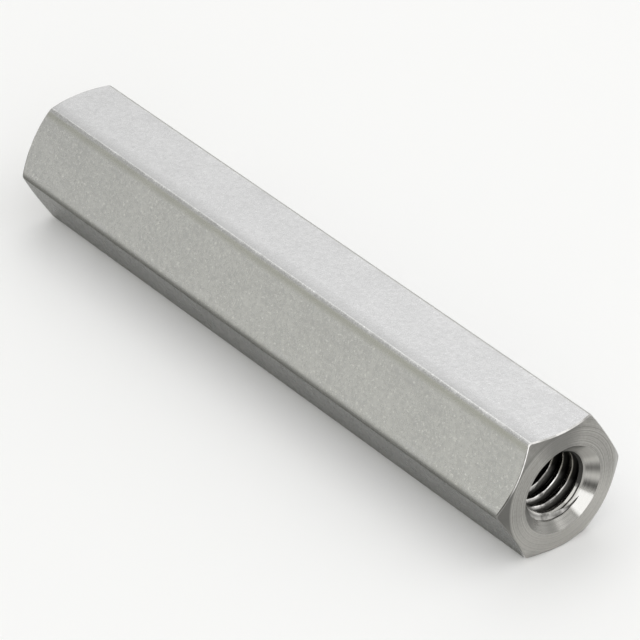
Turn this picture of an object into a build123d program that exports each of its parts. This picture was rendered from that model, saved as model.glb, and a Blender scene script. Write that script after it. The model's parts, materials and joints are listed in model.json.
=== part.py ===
from build123d import *

import os
from math import cos, pi, radians, tan

# Hexagonal spacer: a length of drawn hexagon bar, turned at both ends, with a tapped
# hole in each end. It lies along X on one of its flats, as it comes to rest.
# Lengths are millimetres and angles are degrees. The origin is on the ground, below
# the middle of the bar.

# Drawn hexagon bar
bar_sides = 6
across_flats = 7.0
length = 40.0
corner_radius = 0.3

# Turned ends: a plain face, and a chamfer that runs from its rim back to the corners
end_face_inset = 0.12
end_chamfer_angle = 30.0

# Tapped hole in each end: thread M4, with the wall at the thread's crests
thread_diameter = 4.0
thread_height = 0.3
thread_depth = 10.0
drill_runout = 2.5
drill_point_angle = 118.0

# Countersink at each hole's mouth, wider than the thread all round
countersink_margin = 0.45
countersink_angle = 90.0

# How far a cut runs past the metal that it takes away
overrun = 1.0

# Places that follow from the sizes above
axis_height = across_flats / 2
half_length = length / 2
corner_reach = axis_height / cos(pi / bar_sides)
bore_axis = Axis((0, 0, axis_height), (1, 0, 0))
section_plane = Plane((0, 0, axis_height), (1, 0, 0), (0, -1, 0))

# Turned outline of one end, in the half section above the bore's axis
end_face_radius = axis_height - end_face_inset
envelope_radius = corner_reach + overrun
chamfer_drop = (envelope_radius - end_face_radius) * tan(radians(end_chamfer_angle))

# Drilled and countersunk outline of one hole, in the same half section
hole_radius = thread_diameter / 2 - thread_height
countersink_slope = tan(radians(countersink_angle / 2))
countersink_radius = thread_diameter / 2 + countersink_margin
mouth_radius = countersink_radius + overrun * countersink_slope
countersink_depth = (countersink_radius - hole_radius) / countersink_slope
drill_depth = thread_depth + drill_runout
drill_point_depth = hole_radius / tan(radians(drill_point_angle / 2))

with BuildPart() as hex_spacer:
    # The bar's section has a flat below and above, and a corner at each side
    with BuildSketch(Plane.YZ.offset(-half_length)) as bar_section:
        with Locations((0, axis_height)):
            RegularPolygon(axis_height, bar_sides, major_radius=False)
        fillet(bar_section.vertices(), corner_radius)
    extrude(amount=length)

    # Turning both ends leaves a scalloped edge where each chamfer runs out on the flats
    with BuildSketch(section_plane) as turned_envelope:
        with BuildLine():
            Polyline(
                (0, 0),
                (half_length, 0),
                (half_length, end_face_radius),
                (half_length - chamfer_drop, envelope_radius),
                (0, envelope_radius),
                close=True,
            )
        make_face()
        mirror(about=Plane.YZ)
    revolve(axis=bore_axis, mode=Mode.INTERSECT)

    # Both holes: countersink, wall and drill point
    with BuildSketch(section_plane) as drilled_holes:
        with BuildLine():
            Polyline(
                (half_length + overrun, 0),
                (half_length + overrun, mouth_radius),
                (half_length - countersink_depth, hole_radius),
                (half_length - drill_depth, hole_radius),
                (half_length - drill_depth - drill_point_depth, 0),
                close=True,
            )
        make_face()
        mirror(about=Plane.YZ)
    revolve(axis=bore_axis, mode=Mode.SUBTRACT)

hex_spacer.part.label = "hex_spacer"

os.makedirs("parts", exist_ok=True)
export_step(hex_spacer.part, "parts/hex_spacer.step")
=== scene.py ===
import json
from math import cos, pi, radians, sin, tan

import bpy
from mathutils import Matrix, Vector


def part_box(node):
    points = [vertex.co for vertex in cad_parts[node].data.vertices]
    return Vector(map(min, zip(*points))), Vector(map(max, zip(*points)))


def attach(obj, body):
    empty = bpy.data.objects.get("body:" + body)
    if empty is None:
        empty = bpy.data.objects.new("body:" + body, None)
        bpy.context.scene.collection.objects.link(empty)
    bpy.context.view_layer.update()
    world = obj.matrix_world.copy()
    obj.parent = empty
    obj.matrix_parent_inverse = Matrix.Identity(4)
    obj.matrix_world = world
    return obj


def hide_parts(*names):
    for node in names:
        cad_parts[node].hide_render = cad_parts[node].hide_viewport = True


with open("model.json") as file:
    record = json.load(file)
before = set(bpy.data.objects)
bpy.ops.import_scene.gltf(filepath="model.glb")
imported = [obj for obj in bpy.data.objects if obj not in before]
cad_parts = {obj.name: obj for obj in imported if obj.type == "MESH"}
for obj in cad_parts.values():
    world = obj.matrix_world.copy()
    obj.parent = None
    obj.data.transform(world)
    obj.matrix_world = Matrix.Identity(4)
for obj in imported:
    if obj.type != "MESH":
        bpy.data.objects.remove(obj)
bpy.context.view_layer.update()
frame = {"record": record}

# Drawn bar: one length of cold drawn hexagon bar in pale metal, lying along X on one flat.
# Drawing leaves a fine satin grain on the flats and a small round on each corner. Handling
# has worn the metal beside some of the corners, and painted shade darkens some margins
# and one corner.
low_corner, high_corner = (Vector(corner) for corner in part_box("hex_spacer"))
across_flats = high_corner.z - low_corner.z
axis_height = low_corner.z + across_flats / 2
half_length = (high_corner.x - low_corner.x) / 2
bar_sides = 6
corner_turn = 2 * pi / bar_sides
corner_reach = across_flats / 2 / cos(corner_turn / 2)
corner_radius = 0.0003
corner_segments = 7
saw_allowance = 0.0005
bore_centre = Vector((0, 0, axis_height))


def start_selecting(piece, kind):
    """Makes the piece the only selected object, with none of its edges or faces selected."""
    bpy.ops.object.select_all(action="DESELECT")
    piece.select_set(True)
    bpy.context.view_layer.objects.active = piece
    bpy.ops.object.mode_set(mode="EDIT")
    bpy.ops.mesh.select_mode(type=kind)
    bpy.ops.mesh.select_all(action="DESELECT")
    bpy.ops.object.mode_set(mode="OBJECT")


def round_bar(name, radius, start, end, steps):
    """A bar along the bore's axis between two places along X, round or with few sides."""
    bpy.ops.object.select_all(action="DESELECT")
    bpy.ops.mesh.primitive_cylinder_add(
        vertices=steps,
        radius=radius,
        depth=abs(end - start),
        location=bore_centre + Vector(((start + end) / 2, 0, 0)),
        rotation=(0, pi / 2, 0),
    )
    bar = bpy.context.object
    bar.name = name
    bpy.ops.object.transform_apply(location=True, rotation=True, scale=True)
    return bar


sawn_end = half_length + saw_allowance
spacer = round_bar("spacer_body", corner_reach, -sawn_end, sawn_end, bar_sides)
start_selecting(spacer, "EDGE")
for edge in spacer.data.edges:
    first, second = (spacer.data.vertices[index].co for index in edge.vertices)
    edge.select = abs(first.x - second.x) > half_length
bpy.ops.object.mode_set(mode="EDIT")
bpy.ops.mesh.bevel(
    offset=corner_radius * tan(corner_turn / 2),
    offset_type="OFFSET",
    segments=corner_segments,
    affect="EDGES",
)
bpy.ops.object.mode_set(mode="OBJECT")


def node(tree, kind, **settings):
    """Adds a shader node. A setting in_NAME or in_NUMBER is an input's value, or a link to it."""
    made = tree.nodes.new("ShaderNode" + kind)
    for name, value in settings.items():
        if name.startswith("in_"):
            key = name.removeprefix("in_")
            socket = made.inputs[int(key) if key.isdigit() else key.replace("_", " ")]
            if isinstance(value, bpy.types.NodeSocket):
                tree.links.new(value, socket)
            else:
                socket.default_value = value
        else:
            setattr(made, name, value)
    return made


def sums(tree, operation, *values):
    """The result of a sum on one, two or three values."""
    inputs = {f"in_{place}": value for place, value in enumerate(values)}
    return node(tree, "Math", operation=operation, **inputs).outputs[0]


def ranged(tree, value, from_low, from_high, to_low=0, to_high=1):
    """A value moved from one range to another, and held inside it."""
    return node(
        tree,
        "MapRange",
        in_0=value,
        in_1=from_low,
        in_2=from_high,
        in_3=to_low,
        in_4=to_high,
    ).outputs[0]


def between(tree, share, first, second):
    """A value between two values."""
    return node(tree, "Mix", in_0=share, in_2=first, in_3=second).outputs[0]


def mixed(tree, share, first, second):
    """A colour between two colours."""
    return node(tree, "Mix", data_type="RGBA", in_0=share, in_6=first, in_7=second).outputs[2]


def bumped(tree, strength, depth, height, **base):
    """The surface's direction over a relief of a given depth, on top of another if one is given."""
    return node(
        tree, "Bump", in_Strength=strength, in_Distance=depth, in_Height=height, **base
    ).outputs[0]


# The group gives a finish its fine grain, its broad patches and its place round the axis
grain_detail = 4.0
grain_roughness = 0.75
patch_detail = 3.0
metal_skin = bpy.data.node_groups.new("metal_skin", "ShaderNodeTree")
for socket_name in ("Grain Scale", "Patch Scale"):
    metal_skin.interface.new_socket(socket_name, in_out="INPUT", socket_type="NodeSocketFloat")
for socket_name in ("Grain", "Patches", "Axis Distance", "Turn", "End Depth"):
    metal_skin.interface.new_socket(socket_name, in_out="OUTPUT", socket_type="NodeSocketFloat")
skin_in = metal_skin.nodes.new("NodeGroupInput")
skin_out = metal_skin.nodes.new("NodeGroupOutput")
skin_place = node(metal_skin, "TexCoord").outputs["Object"]
skin_grain = node(
    metal_skin,
    "TexNoise",
    in_Vector=skin_place,
    in_Scale=skin_in.outputs["Grain Scale"],
    in_Detail=grain_detail,
    in_Roughness=grain_roughness,
)
skin_patches = node(
    metal_skin,
    "TexNoise",
    in_Vector=skin_place,
    in_Scale=skin_in.outputs["Patch Scale"],
    in_Detail=patch_detail,
)
skin_along = node(metal_skin, "SeparateXYZ", in_0=skin_place).outputs["X"]
skin_depth = sums(metal_skin, "SUBTRACT", half_length, sums(metal_skin, "ABSOLUTE", skin_along))
skin_spoke = node(
    metal_skin,
    "Mapping",
    in_Vector=skin_place,
    in_Location=(0, 0, -axis_height),
    in_Scale=(0, 1, 1),
).outputs[0]
skin_reach = node(metal_skin, "VectorMath", operation="LENGTH", in_0=skin_spoke)
skin_parts = node(metal_skin, "SeparateXYZ", in_0=skin_spoke)
skin_turn = sums(metal_skin, "ARCTAN2", skin_parts.outputs["Z"], skin_parts.outputs["Y"])
metal_skin.links.new(skin_grain.outputs[0], skin_out.inputs["Grain"])
metal_skin.links.new(skin_patches.outputs[0], skin_out.inputs["Patches"])
metal_skin.links.new(skin_reach.outputs["Value"], skin_out.inputs["Axis Distance"])
metal_skin.links.new(skin_turn, skin_out.inputs["Turn"])
metal_skin.links.new(skin_depth, skin_out.inputs["End Depth"])


def new_finish(name, grain_scale, patch_scale):
    """A new metal finish with the skin group in it: its node tree, shader and skin."""
    finish = bpy.data.materials.new(name)
    finish.use_nodes = True
    tree = finish.node_tree
    shader = tree.nodes["Principled BSDF"]
    shader.inputs["Metallic"].default_value = 1
    skin = tree.nodes.new("ShaderNodeGroup")
    skin.node_tree = metal_skin
    skin.inputs["Grain Scale"].default_value = grain_scale
    skin.inputs["Patch Scale"].default_value = patch_scale
    spacer.data.materials.append(finish)
    return tree, shader, skin.outputs


def dress(tree, shader, colour, roughness, normal):
    """Gives a finish its colour, roughness and relief."""
    tree.links.new(colour, shader.inputs["Base Color"])
    tree.links.new(roughness, shader.inputs["Roughness"])
    tree.links.new(normal, shader.inputs["Normal"])


# Grain of the flats, softer on the upper and lower ones and with bright specks on the others
noise_low = 0.3
noise_high = 0.7
noise_middle = 0.5
drawn_dark = (0.57, 0.57, 0.577, 1)
drawn_light = (0.705, 0.705, 0.713, 1)
grazing_shade_tint = (0.4, 0.4, 0.38, 1)
drawn_speck = (0.8, 0.8, 0.8, 1)
drawn_grain_scale = 3900
drawn_patch_scale = 420
draw_line_scale = 6000
draw_line_stretch = (0.02, 1, 1)
draw_line_detail = 2
draw_line_share = 0.12
drawn_patch_share = 0.2
speck_scale = 8500
speck_detail = 0
speck_low = 0.67
speck_high = 0.79
flank_tone_low = 0.37
flank_tone_high = 0.63
corner_blend = radians(2.2)
drawn_tree, drawn_shader, drawn_skin = new_finish(
    "drawn_flats", drawn_grain_scale, drawn_patch_scale
)
drawn_place = node(drawn_tree, "TexCoord").outputs["Object"]
draw_line_place = node(
    drawn_tree, "Mapping", in_Vector=drawn_place, in_Scale=draw_line_stretch
).outputs[0]
draw_lines = node(
    drawn_tree,
    "TexNoise",
    in_Vector=draw_line_place,
    in_Scale=draw_line_scale,
    in_Detail=draw_line_detail,
).outputs[0]
drawn_texture = between(drawn_tree, draw_line_share, drawn_skin["Grain"], draw_lines)
drawn_tone = between(drawn_tree, drawn_patch_share, drawn_texture, drawn_skin["Patches"])
drawn_specks = node(
    drawn_tree, "TexNoise", in_Vector=drawn_place, in_Scale=speck_scale, in_Detail=speck_detail
).outputs[0]
upright = sums(drawn_tree, "ABSOLUTE", sums(drawn_tree, "SINE", drawn_skin["Turn"]))


def upward(start, full):
    """How far a place is turned up or down from the side corners, between two angles."""
    return ranged(drawn_tree, upright, sin(start), sin(full))


on_top_side = upward(corner_turn - corner_blend, corner_turn + corner_blend)
speck_height = ranged(drawn_tree, drawn_specks, speck_low, speck_high)
on_speck = between(drawn_tree, on_top_side, speck_height, 0)
tone_low = between(drawn_tree, on_top_side, flank_tone_low, noise_low)
tone_high = between(drawn_tree, on_top_side, flank_tone_high, noise_high)
grain_share = ranged(drawn_tree, drawn_tone, tone_low, tone_high)
grained_colour = mixed(drawn_tree, grain_share, drawn_dark, drawn_light)
specked_colour = mixed(drawn_tree, on_speck, grained_colour, drawn_speck)

# Painted shade in margins beside the corners: a broad one on the left of the upper and lower
# flats, and a narrow one on each side flat next to them. Start and full are depths below
# the sharp corner.
top_margin_shade = (0.5, 0.5, 0.503, 1)
flank_margin_shade = (0.53, 0.53, 0.507, 1)
top_margin_start = 0.00038
top_margin_full = 0.00004
flank_margin_start = 0.00025
flank_margin_full = 0.00014
flank_turn_start = radians(30)
flank_turn_full = radians(45)


def by_corner(start, full):
    """How near a place on the bar is to a corner, between two depths below the sharp corner."""
    return ranged(
        drawn_tree, drawn_skin["Axis Distance"], corner_reach - start, corner_reach - full
    )


turn_across = sums(drawn_tree, "COSINE", drawn_skin["Turn"])
on_left = sums(drawn_tree, "LESS_THAN", turn_across, 0)
top_margin_shading = sums(drawn_tree, "MULTIPLY", by_corner(top_margin_start, top_margin_full), on_left)
flank_margin_shading = sums(
    drawn_tree,
    "MULTIPLY",
    by_corner(flank_margin_start, flank_margin_full),
    upward(flank_turn_start, flank_turn_full),
)
margin_shading = between(drawn_tree, on_top_side, flank_margin_shading, top_margin_shading)
margin_shade_colour = mixed(drawn_tree, on_top_side, flank_margin_shade, top_margin_shade)
margin_colour = mixed(drawn_tree, margin_shading, specked_colour, margin_shade_colour)

# The upper and lower corners' rounds are worn, with paler flecks, and the left one carries painted
# shade
worn_corner = (0.67, 0.67, 0.665, 1)
worn_fleck = (0.79, 0.79, 0.785, 1)
left_corner_shade = (0.212, 0.212, 0.199, 1)
wear_start = 0.00009
wear_full = 0.00008
crown_blend = radians(0.7)
fleck_low = 0.64
fleck_high = 0.72
round_start = 0.00022
round_full = 0.00006
round_shading_power = 4
left_corner_spread = radians(18.2)
wear = sums(
    drawn_tree,
    "MULTIPLY",
    by_corner(wear_start, wear_full),
    upward(corner_turn - corner_blend, corner_turn - crown_blend),
)
on_fleck = ranged(drawn_tree, drawn_specks, fleck_low, fleck_high)
worn_colour = mixed(drawn_tree, on_fleck, worn_corner, worn_fleck)
flat_colour = mixed(drawn_tree, wear, margin_colour, worn_colour)
on_round = by_corner(round_start, round_full)
on_left_corner = sums(drawn_tree, "LESS_THAN", turn_across, -cos(left_corner_spread))
round_shading = sums(drawn_tree, "POWER", on_round, round_shading_power)
corner_shading = sums(drawn_tree, "MULTIPLY", round_shading, on_left_corner)
drawn_colour = mixed(drawn_tree, corner_shading, flat_colour, left_corner_shade)

drawn_rough = 0.32
drawn_smooth = 0.22
wave_strength = 1
wave_depth = 0.00009
grain_strength = 0.7
grain_depth = 0.00002
# The dark edge tint is painted shade: it darkens the flats where they are seen at a grazing angle,
# as the lower flat is
drawn_shader.inputs["Specular Tint"].default_value = grazing_shade_tint
drawn_roughness = ranged(
    drawn_tree, drawn_tone, noise_low, noise_high, drawn_rough, drawn_smooth
)
level_waves = sums(drawn_tree, "SUBTRACT", drawn_skin["Patches"], noise_middle)
round_waves = sums(drawn_tree, "MULTIPLY", level_waves, on_round)
drawn_waves = bumped(drawn_tree, wave_strength, wave_depth, round_waves)
drawn_relief = bumped(
    drawn_tree, grain_strength, grain_depth, drawn_texture, in_Normal=drawn_waves
)
dress(drawn_tree, drawn_shader, drawn_colour, drawn_roughness, drawn_relief)

# Turned ends: both ends of the bar are faced square in a lathe, and a shallow chamfer takes
# the corners back. That leaves a round face with fine rings, and a scalloped edge on each
# flat that is slightly broken.
end_face_inset = 0.00012
end_face_radius = across_flats / 2 - end_face_inset
chamfer_angle = radians(30)
edge_break = 0.00006
edge_break_segments = 3
turned_steps = 240
blank_share = 1.1
blank_radius = corner_reach * blank_share
chamfer_run = (blank_radius - end_face_radius) * tan(chamfer_angle)
same_place = 1e-6
square_tilt = 0.99
along_tilt = 0.1
chamfer_tilt_low = 0.7
chamfer_tilt_high = 0.95


def draw_out(piece, place, move, scale):
    """Extrudes the end face at a place along X by a move along X, and scales it round the axis."""
    start_selecting(piece, "FACE")
    for face in piece.data.polygons:
        at_place = abs(face.center.x - place) < same_place
        face.select = at_place and abs(face.normal.x) > square_tilt
    bpy.ops.object.mode_set(mode="EDIT")
    bpy.ops.mesh.extrude_region_move(TRANSFORM_OT_translate={"value": (move, 0, 0)})
    bpy.ops.transform.resize(
        value=(1, scale, scale),
        center_override=bore_centre + Vector((place + move, 0, 0)),
    )
    bpy.ops.object.mode_set(mode="OBJECT")


def cut(piece, tool, operation):
    """Cuts a piece with a tool and takes the tool away."""
    start_selecting(piece, "FACE")
    boolean = piece.modifiers.new("cut", "BOOLEAN")
    boolean.operation = operation
    boolean.solver = "EXACT"
    boolean.object = tool
    bpy.ops.object.modifier_apply(modifier=boolean.name)
    bpy.data.objects.remove(tool)


shoulder = half_length - chamfer_run
blank = round_bar("turned_blank", blank_radius, -shoulder, shoulder, turned_steps)
for side in (1, -1):
    draw_out(blank, side * shoulder, side * chamfer_run, end_face_radius / blank_radius)
cut(spacer, blank, "INTERSECT")
tilts_by_edge = {}
for face in spacer.data.polygons:
    for key in face.edge_keys:
        tilts_by_edge.setdefault(key, []).append(abs(face.normal.x))
start_selecting(spacer, "EDGE")
for edge in spacer.data.edges:
    flat_tilt, end_tilt = sorted(tilts_by_edge[edge.key])
    edge.select = flat_tilt < along_tilt and chamfer_tilt_low < end_tilt < chamfer_tilt_high
bpy.ops.object.mode_set(mode="EDIT")
bpy.ops.mesh.bevel(
    offset=edge_break,
    offset_type="OFFSET",
    segments=edge_break_segments,
    affect="EDGES",
    clamp_overlap=False,
)
bpy.ops.object.mode_set(mode="OBJECT")

# The turned face carries painted light at its bottom and painted shade at its top, and the left
# chamfer carries painted shade.
# An edge value is the angle from a side at which its tone starts, a full value where it is whole.
turned_dark = (0.25, 0.245, 0.231, 1)
turned_light = (0.48, 0.47, 0.444, 1)
turned_shade = (0.15, 0.148, 0.14, 1)
turned_grain_scale = 7000
turned_patch_scale = 900
turned_ring_scale = 16000
turned_grain_share = 0.4
ring_detail = 2
painted_light_side = radians(-85)
painted_light_edge = radians(90)
painted_light_full = radians(53.1)
painted_light_tone_low = -0.16
painted_light_tone_high = 0.42
shaded_side = radians(95)
shaded_edge = radians(28.4)
shaded_full = radians(8.1)
shaded_share = 0.7
chamfer_shade_side = radians(165)
chamfer_shade_edge = radians(56.6)
chamfer_shade_full = radians(18.2)
chamfer_blend = 0.00008
turned_rough = 0.4
turned_smooth = 0.28
ring_strength = 0.2
ring_depth = 0.00001


def lathe_rings(tree, skin, scale):
    """Fine rings round the axis, as a turning tool or a cutter leaves them."""
    return node(
        tree,
        "TexNoise",
        noise_dimensions="1D",
        in_W=skin["Axis Distance"],
        in_Scale=scale,
        in_Detail=ring_detail,
    ).outputs[0]


def beside(tree, skin, side, edge, full):
    """How near a place is to one side of the axis: 0 past the edge angle, 1 inside the full one."""
    off_side = sums(tree, "SUBTRACT", skin["Turn"], side)
    return ranged(tree, sums(tree, "COSINE", off_side), cos(edge), cos(full))


turned_tree, turned_shader, turned_skin = new_finish(
    "turned_end", turned_grain_scale, turned_patch_scale
)
turned_rings = lathe_rings(turned_tree, turned_skin, turned_ring_scale)
turned_tone = between(turned_tree, turned_grain_share, turned_rings, turned_skin["Grain"])
ring_tone = ranged(turned_tree, turned_tone, noise_low, noise_high)
on_painted_light_side = beside(turned_tree, turned_skin, painted_light_side, painted_light_edge, painted_light_full)
painted_light_tone = between(turned_tree, on_painted_light_side, painted_light_tone_low, painted_light_tone_high)
face_tone = sums(turned_tree, "ADD", ring_tone, painted_light_tone)
ringed_colour = mixed(turned_tree, face_tone, turned_dark, turned_light)
on_shaded_side = beside(turned_tree, turned_skin, shaded_side, shaded_edge, shaded_full)
shading = sums(turned_tree, "MULTIPLY", on_shaded_side, shaded_share)
face_colour = mixed(turned_tree, shading, ringed_colour, turned_shade)
on_chamfer = ranged(
    turned_tree, turned_skin["Axis Distance"], end_face_radius, end_face_radius + chamfer_blend
)
on_chamfer_shade_side = beside(turned_tree, turned_skin, chamfer_shade_side, chamfer_shade_edge, chamfer_shade_full)
chamfer_shading = sums(turned_tree, "MULTIPLY", on_chamfer_shade_side, on_chamfer)
turned_colour = mixed(turned_tree, chamfer_shading, face_colour, turned_shade)
turned_roughness = ranged(
    turned_tree, turned_tone, noise_low, noise_high, turned_rough, turned_smooth
)
turned_relief = bumped(turned_tree, ring_strength, ring_depth, turned_tone)
dress(turned_tree, turned_shader, turned_colour, turned_roughness, turned_relief)

# The scallops' broken edges are rubbed bright in places, and carry painted shade at the lower left
rubbed_dark = (0.42, 0.413, 0.4, 1)
rubbed_light = (0.7, 0.69, 0.675, 1)
lower_shade = (0.22, 0.217, 0.207, 1)
edge_grain_scale = 9000
edge_patch_scale = 1500
rub_low = 0.42
rub_high = 0.62
lower_shade_side = radians(195)
lower_shade_edge = radians(38.7)
lower_shade_full = radians(30.7)
edge_roughness = 0.2
edge_tree, edge_shader, edge_skin = new_finish("broken_edge", edge_grain_scale, edge_patch_scale)
edge_rubbing = ranged(edge_tree, edge_skin["Patches"], rub_low, rub_high)
rubbed_colour = mixed(edge_tree, edge_rubbing, rubbed_dark, rubbed_light)
on_lower_shade = beside(edge_tree, edge_skin, lower_shade_side, lower_shade_edge, lower_shade_full)
edge_colour = mixed(edge_tree, on_lower_shade, rubbed_colour, lower_shade)
edge_tree.links.new(edge_colour, edge_shader.inputs["Base Color"])
edge_shader.inputs["Roughness"].default_value = edge_roughness

# Drilled and countersunk holes: one in each end, with the drill's cone at the bottom and a
# countersink at the mouth. The cutter burnished the countersink and chattered, so faint
# flutes run round it.
tapped_hole = next(
    mount for mount in frame["record"]["mounts"] if mount["name"] == "tapped_hole_right"
)
hole_radius = tapped_hole["dims"]["r_mm"] / 1000
wall_length = tapped_hole["dims"]["length_mm"] / 1000
countersink_radius = 0.00245
countersink_depth = countersink_radius - hole_radius
mouth_overrun = 0.0003
drill_point_angle = radians(118)
drill_web_share = 0.06
hole_steps = 180
chatter_flutes = 13
chatter_depth = 0.000008
chatter_phase = radians(7)


def turn_end_for_end(tool):
    """A copy of a tool for the other end, turned about the upright line through the middle."""
    copy = tool.copy()
    copy.data = tool.data.copy()
    bpy.context.collection.objects.link(copy)
    copy.data.transform(Matrix.Rotation(pi, 4, "Z"))
    return copy


throat = half_length - countersink_depth
drill = round_bar("drill", hole_radius, throat - wall_length, throat, hole_steps)
draw_out(drill, throat, countersink_depth, countersink_radius / hole_radius)
draw_out(drill, half_length, mouth_overrun, 1 + mouth_overrun / countersink_radius)
drill_point_length = hole_radius * (1 - drill_web_share) / tan(drill_point_angle / 2)
draw_out(drill, throat - wall_length, -drill_point_length, drill_web_share)
for vertex in drill.data.vertices:
    spoke = vertex.co - bore_centre
    if spoke.x > throat - same_place:
        turn = Vector((spoke.y, spoke.z)).angle_signed(Vector((1, 0)))
        swell = chatter_depth * cos(chatter_flutes * (turn + chatter_phase))
        vertex.co += Vector((0, spoke.y, spoke.z)).normalized() * swell
other_drill = turn_end_for_end(drill)
cut(spacer, drill, "DIFFERENCE")
cut(spacer, other_drill, "DIFFERENCE")

# Bands round the cone: the flutes are cut into it, and their dark and light bands are painted
# reflection, strongest on the right, with painted sheen above them and a painted highlight below
cone_dark = (0.05, 0.049, 0.046, 1)
burnished_light = (0.58, 0.57, 0.54, 1)
cone_highlight = (0.56, 0.555, 0.54, 1)
cone_grain_scale = 8000
cone_patch_scale = 900
cone_ring_scale = 26000
cone_ring_share = 0.25
chatter_side = radians(-3)
chatter_edge = radians(36.9)
chatter_full = radians(21.6)
chatter_least = 0.15
fade_start = radians(-12)
fade_end = radians(8)
faded_chatter = 0.6
cone_sheen_side = radians(48)
cone_sheen_edge = radians(41.4)
cone_sheen_full = radians(18.2)
cone_sheen_tone = 0.5
cone_highlight_side = radians(-46)
cone_highlight_edge = radians(18.2)
cone_highlight_full = radians(11.5)
cone_tree, cone_shader, cone_skin = new_finish("countersink", cone_grain_scale, cone_patch_scale)
cone_rings = lathe_rings(cone_tree, cone_skin, cone_ring_scale)
flute_turn = sums(
    cone_tree, "MULTIPLY_ADD", cone_skin["Turn"], chatter_flutes, chatter_flutes * chatter_phase
)
on_chatter = beside(cone_tree, cone_skin, chatter_side, chatter_edge, chatter_full)
chatter_share = between(cone_tree, on_chatter, chatter_least, 1)
chatter_fade = ranged(cone_tree, cone_skin["Turn"], fade_start, fade_end, 1, faded_chatter)
chatter_height = sums(cone_tree, "MULTIPLY", chatter_share, chatter_fade)
chatter_waves = sums(cone_tree, "MULTIPLY", sums(cone_tree, "COSINE", flute_turn), chatter_height)
chatter_bands = ranged(cone_tree, chatter_waves, -1, 1)
on_cone_sheen = beside(cone_tree, cone_skin, cone_sheen_side, cone_sheen_edge, cone_sheen_full)
cone_waves = sums(cone_tree, "MULTIPLY_ADD", on_cone_sheen, cone_sheen_tone, chatter_bands)
cone_tone = between(cone_tree, cone_ring_share, cone_waves, cone_rings)
chattered_colour = mixed(cone_tree, cone_tone, cone_dark, burnished_light)
on_cone_highlight = beside(
    cone_tree, cone_skin, cone_highlight_side, cone_highlight_edge, cone_highlight_full
)
highlighted_colour = mixed(cone_tree, on_cone_highlight, chattered_colour, cone_highlight)

# Lip of the cone at the thread, with a dark line round it and painted shade on one side
lip_colour = (0.42, 0.412, 0.39, 1)
lip_end_radius = 0.00196
lip_full_radius = 0.00188
lip_shade_radius = 0.00183
lip_line_radius = 0.00182
lip_line_half_width = 0.00003
upper_shade_side = radians(40)
upper_shade_edge = radians(72.5)
upper_shade_full = radians(63.3)
on_lip = ranged(cone_tree, cone_skin["Axis Distance"], lip_full_radius, lip_end_radius, 1, 0)
on_upper_shade_lip = beside(cone_tree, cone_skin, upper_shade_side, upper_shade_edge, upper_shade_full)
below_line = sums(cone_tree, "LESS_THAN", cone_skin["Axis Distance"], lip_shade_radius)
lip_shade = sums(cone_tree, "MULTIPLY", on_upper_shade_lip, below_line)
shaded_lip = mixed(cone_tree, lip_shade, lip_colour, cone_dark)
lipped_colour = mixed(cone_tree, on_lip, highlighted_colour, shaded_lip)
lip_line = sums(
    cone_tree, "COMPARE", cone_skin["Axis Distance"], lip_line_radius, lip_line_half_width
)
lined_colour = mixed(cone_tree, lip_line, lipped_colour, cone_dark)

# The cone carries painted light on the left, where it is also rougher, and painted shade at its
# mouth near the top
cone_pale = (0.31, 0.305, 0.293, 1)
pale_side = radians(-162)
pale_edge = radians(31.8)
pale_full = radians(14.1)
mouth_side = radians(72)
mouth_edge = radians(21.6)
mouth_full = radians(9.9)
mouth_share = 0.65
mouth_start_radius = 0.0021
mouth_full_radius = 0.0024
cone_rough = 0.22
cone_smooth = 0.12
scuffed_roughness = 0.42
cone_ring_strength = 0.1
on_pale = beside(cone_tree, cone_skin, pale_side, pale_edge, pale_full)
pale_colour = mixed(cone_tree, on_pale, lined_colour, cone_pale)
on_mouth_side = beside(cone_tree, cone_skin, mouth_side, mouth_edge, mouth_full)
at_mouth = ranged(
    cone_tree,
    cone_skin["Axis Distance"],
    mouth_start_radius,
    mouth_full_radius,
    0,
    mouth_share,
)
mouth_shading = sums(cone_tree, "MULTIPLY", on_mouth_side, at_mouth)
cone_colour = mixed(cone_tree, mouth_shading, pale_colour, cone_dark)
ring_roughness = ranged(cone_tree, cone_rings, noise_low, noise_high, cone_rough, cone_smooth)
rough_share = sums(cone_tree, "MAXIMUM", on_cone_sheen, on_pale)
cone_roughness = between(cone_tree, rough_share, ring_roughness, scuffed_roughness)
cone_relief = bumped(cone_tree, cone_ring_strength, ring_depth, cone_rings)
dress(cone_tree, cone_shader, cone_colour, cone_roughness, cone_relief)

# Tapped thread: a right-hand M4 thread, 0.7 mm in pitch, in each hole, short of the drill's
# cone. Its crests are flat, with broken edges, and carry painted highlights in patches, most of
# all at the lower left. The grooves carry painted shade, darkest deep in the hole and at the
# upper right.
thread_radius = 0.002
thread_pitch = 0.0007
thread_depth = 0.010
flank_angle = radians(30)
root_width = 0.00013
crest_break = 0.00004
tap_overlap = 0.00004
tap_steps = 97
tap_lead_in = radians(1.1)
tap_phase_depth = 0.00031
tap_turns = round(thread_depth / thread_pitch) + 1
tap_profile_points = 6
tap_weld = 1e-8

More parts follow.
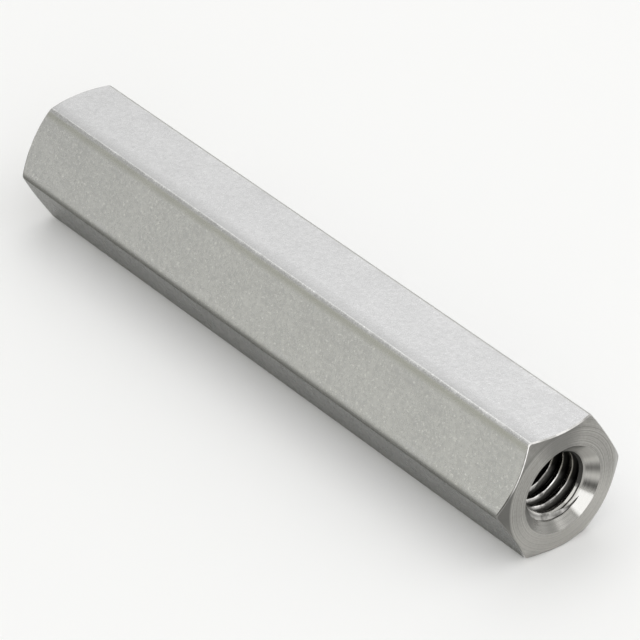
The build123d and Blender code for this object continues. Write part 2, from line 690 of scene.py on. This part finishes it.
tap_inner = hole_radius - tap_overlap
break_radius = hole_radius + crest_break
break_width = root_width + 2 * (thread_radius - break_radius) * tan(flank_angle)
inner_width = break_width + 2 * (break_radius - tap_inner)
bpy.ops.object.select_all(action="DESELECT")
bpy.ops.mesh.primitive_plane_add(size=1)
tap = bpy.context.object
tap.name = "tap"
for vertex in tap.data.vertices:
    at_break = vertex.co.y > 0
    vertex.co.x *= break_width if at_break else inner_width
    vertex.co.y = break_radius if at_break else tap_inner
start_selecting(tap, "EDGE")
for edge in tap.data.edges:
    edge.select = all(tap.data.vertices[index].co.y > hole_radius for index in edge.vertices)
bpy.ops.object.mode_set(mode="EDIT")
bpy.ops.mesh.extrude_region_move(
    TRANSFORM_OT_translate={"value": (0, thread_radius - break_radius, 0)}
)
bpy.ops.transform.resize(value=(root_width / break_width, 1, 1), center_override=(0, 0, 0))
bpy.ops.object.mode_set(mode="OBJECT")
start_selecting(tap, "FACE")
bpy.ops.object.mode_set(mode="EDIT")
bpy.ops.mesh.select_all(action="SELECT")
bpy.ops.mesh.dissolve_faces()
bpy.ops.mesh.delete(type="ONLY_FACE")
bpy.ops.object.mode_set(mode="OBJECT")
tap_start = half_length - tap_phase_depth - (tap_turns - 1) * thread_pitch
tap.location = bore_centre + Vector((tap_start, 0, 0))
helix = tap.modifiers.new("helix", "SCREW")
helix.axis = "X"
helix.angle = 2 * pi
helix.screw_offset = thread_pitch
helix.iterations = tap_turns
helix.steps = tap_steps
helix.render_steps = tap_steps
bpy.ops.object.modifier_apply(modifier=helix.name)
bpy.ops.object.transform_apply(location=True, rotation=True, scale=True)
bpy.ops.object.mode_set(mode="EDIT")
bpy.ops.mesh.select_all(action="SELECT")
bpy.ops.mesh.remove_doubles(threshold=tap_weld)
bpy.ops.mesh.fill_holes(sides=tap_profile_points)
bpy.ops.mesh.normals_make_consistent(inside=False)
bpy.ops.transform.rotate(value=tap_lead_in, orient_axis="X", center_override=bore_centre)
bpy.ops.object.mode_set(mode="OBJECT")
other_tap = turn_end_for_end(tap)
cut(spacer, tap, "DIFFERENCE")
cut(spacer, other_tap, "DIFFERENCE")

thread_dark = (0.1, 0.097, 0.09, 1)
thread_highlight = (0.92, 0.905, 0.88, 1)
thread_deep_shade = (0.02, 0.019, 0.017, 1)
shaded_crest = (0.33, 0.315, 0.28, 1)
thread_grain_scale = 5000
thread_patch_scale = 1500
thread_patch_share = 0.5
glint_side = radians(-120)
glint_edge = radians(56.6)
glint_full = radians(47.2)
crest_depth = 0.00001
groove_depth = 0.00006
glint_groove_depth = 0.00016
mouth_glint_full = 0.00065
mouth_glint_end = 0.0008
mouth_glint_share = 0.5
glint_low = 0.42
glint_high = 0.56
least_glinting = 0.2
depth_shade_start = 0.0026
depth_shade_full = 0.0036
groove_roughness = 0.38
crest_roughness = 0.16
thread_strength = 0.8
thread_relief_depth = 0.00005
thread_tree, thread_shader, thread_skin = new_finish(
    "tapped_thread", thread_grain_scale, thread_patch_scale
)
thread_tone = between(
    thread_tree, thread_patch_share, thread_skin["Grain"], thread_skin["Patches"]
)
on_upper_shade = beside(thread_tree, thread_skin, upper_shade_side, upper_shade_edge, upper_shade_full)
on_glint_side = beside(thread_tree, thread_skin, glint_side, glint_edge, glint_full)
groove_start = hole_radius + crest_depth
groove_full = between(
    thread_tree, on_glint_side, hole_radius + groove_depth, hole_radius + glint_groove_depth
)
on_crest = ranged(thread_tree, thread_skin["Axis Distance"], groove_start, groove_full, 1, 0)
near_mouth = ranged(
    thread_tree, thread_skin["End Depth"], mouth_glint_full, mouth_glint_end, mouth_glint_share, 0
)
glint_mouth = sums(thread_tree, "MULTIPLY", near_mouth, on_glint_side)
crest_share = sums(thread_tree, "MAXIMUM", on_crest, glint_mouth)
groove_colour = mixed(thread_tree, on_upper_shade, thread_dark, thread_deep_shade)
glinting = ranged(thread_tree, thread_skin["Patches"], glint_low, glint_high, least_glinting, 1)
glint_colour = mixed(thread_tree, glinting, thread_dark, thread_highlight)
crest_colour = mixed(thread_tree, on_upper_shade, glint_colour, shaded_crest)
cut_colour = mixed(thread_tree, crest_share, groove_colour, crest_colour)
depth_shading = ranged(thread_tree, thread_skin["End Depth"], depth_shade_start, depth_shade_full)
thread_colour = mixed(thread_tree, depth_shading, cut_colour, thread_deep_shade)
thread_roughness = between(thread_tree, on_crest, groove_roughness, crest_roughness)
thread_relief = bumped(thread_tree, thread_strength, thread_relief_depth, thread_tone)
dress(thread_tree, thread_shader, thread_colour, thread_roughness, thread_relief)

# Finished spacer: the cuts are cleaned up into one closed skin. Each face takes the finish of
# the step that made it: drawing, turning, breaking the edges, countersinking or tapping.
skin_weld = 2e-8
inward_limit = 0.5
cone_tilt = cos(radians(45))
cone_tilt_allowance = 0.03
turned_tilt = 0.85
smooth_angle = radians(22)
start_selecting(spacer, "FACE")
bpy.ops.object.mode_set(mode="EDIT")
bpy.ops.mesh.select_all(action="SELECT")
bpy.ops.mesh.remove_doubles(threshold=skin_weld)
bpy.ops.mesh.normals_make_consistent(inside=False)
bpy.ops.object.mode_set(mode="OBJECT")

finish_places = {finish.name: place for place, finish in enumerate(spacer.data.materials)}
for face in spacer.data.polygons:
    spoke = face.center - bore_centre
    spoke.x = 0
    facing_out = spoke.normalized().dot(face.normal)
    tilt = abs(face.normal.x)
    reach = abs(face.center.x)
    if reach > half_length - same_place:
        finish = "turned_end"
    elif spoke.length < countersink_radius + chatter_depth and facing_out < inward_limit:
        on_cone = reach > throat - same_place and abs(tilt - cone_tilt) < cone_tilt_allowance
        finish = "countersink" if on_cone else "tapped_thread"
    elif tilt > turned_tilt:
        finish = "turned_end"
    else:
        finish = "broken_edge" if tilt > along_tilt else "drawn_flats"
    face.material_index = finish_places[finish]
bpy.ops.object.shade_smooth_by_angle(angle=smooth_angle)
even_normals = spacer.modifiers.new("even_normals", "WEIGHTED_NORMAL")
even_normals.keep_sharp = True
bpy.ops.object.modifier_apply(modifier=even_normals.name)

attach(spacer, "root")
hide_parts("hex_spacer")

# Table: a plain white sheet that lies under the spacer and isn't part of it. It is matt, and
# it keeps a soft shadow.
table_size = 3
table_gap = 1e-6
sheet_white = (0.93, 0.93, 0.93, 1)
bpy.ops.object.select_all(action="DESELECT")
bpy.ops.mesh.primitive_plane_add(size=table_size, location=(0, 0, low_corner.z - table_gap))
table = bpy.context.object
table.name = "table"
table_sheet = bpy.data.materials.new("table_sheet")
table_sheet.use_nodes = True
sheet_shader = table_sheet.node_tree.nodes["Principled BSDF"]
sheet_shader.inputs["Base Color"].default_value = sheet_white
sheet_shader.inputs["Roughness"].default_value = 1
sheet_shader.inputs["Specular IOR Level"].default_value = 0
table.data.materials.append(table_sheet)

# Studio light: a soft even room with six large lamps. One is overhead for the table, one
# behind for the upper flat, one low at the left for the flat that faces the camera, one in
# front for the hole, one at the right for the near end and one low beyond the far end.
room_colour = (0.44, 0.44, 0.428, 1)
lamp_distance = 0.6
overhead_distance = 0.7
left_tint = (1, 1, 0.78)
world = bpy.data.worlds.new("studio")
world.use_nodes = True
world.node_tree.nodes["Background"].inputs["Color"].default_value = room_colour
bpy.context.scene.world = world


def softbox(name, azimuth, elevation, width, height, level, distance=lamp_distance):
    """A rectangular lamp that faces the spacer from a compass direction and height."""
    lamp = bpy.data.lights.new(name, "AREA")
    lamp.shape = "RECTANGLE"
    lamp.size = width
    lamp.size_y = height
    lamp.energy = level * pi * width * height
    box = bpy.data.objects.new(name, lamp)
    bpy.context.collection.objects.link(box)
    turn, lift = radians(azimuth), radians(elevation)
    away = Vector((sin(turn) * cos(lift), -cos(turn) * cos(lift), sin(lift)))
    box.location = bore_centre + distance * away
    box.rotation_euler = away.to_track_quat("Z", "Y").to_euler()
    box.visible_camera = False
    return lamp


softbox("front_softbox", azimuth=61.5, elevation=20.5, width=0.45, height=0.38, level=1.2)
softbox("right_softbox", azimuth=130, elevation=21, width=1.1, height=0.52, level=0.42)
softbox("back_softbox", azimuth=220.5, elevation=27, width=0.5, height=0.58, level=0.64)
softbox("far_end_softbox", azimuth=276, elevation=15, width=0.5, height=0.28, level=0.5)
left_lamp = softbox(
    "left_softbox", azimuth=328, elevation=20, width=0.34, height=0.47, level=0.23
)
left_lamp.color = left_tint
softbox(
    "overhead_softbox",
    azimuth=100,
    elevation=82,
    width=1.3,
    height=1.3,
    level=0.78,
    distance=overhead_distance,
)

# Camera: it looks down along the spacer from in front of the right-hand end, with a long
# lens, so the far end is only slightly smaller than the near one.
view_turn = radians(51.083)
view_lift = radians(34.700)
view_distance = 0.23127
view_right_offset = 0.000670
view_up_offset = -0.000532
sensor_width_mm = 36
lens_length_mm = 251.09
nearest_view = 0.01
back = Vector((sin(view_turn) * cos(view_lift), -cos(view_turn) * cos(view_lift), sin(view_lift)))
right = Vector((cos(view_turn), sin(view_turn), 0))
up = back.cross(right)
lens = bpy.data.cameras.new("camera")
lens.sensor_width = sensor_width_mm
lens.lens = lens_length_mm
lens.clip_start = nearest_view
camera = bpy.data.objects.new("camera", lens)
bpy.context.collection.objects.link(camera)
camera_place = bore_centre + back * view_distance + right * view_right_offset + up * view_up_offset
camera_turn = Matrix((right, up, back)).transposed().to_4x4()
camera.matrix_world = Matrix.Translation(camera_place) @ camera_turn
bpy.context.scene.camera = camera
bpy.context.scene.view_settings.view_transform = "Standard"
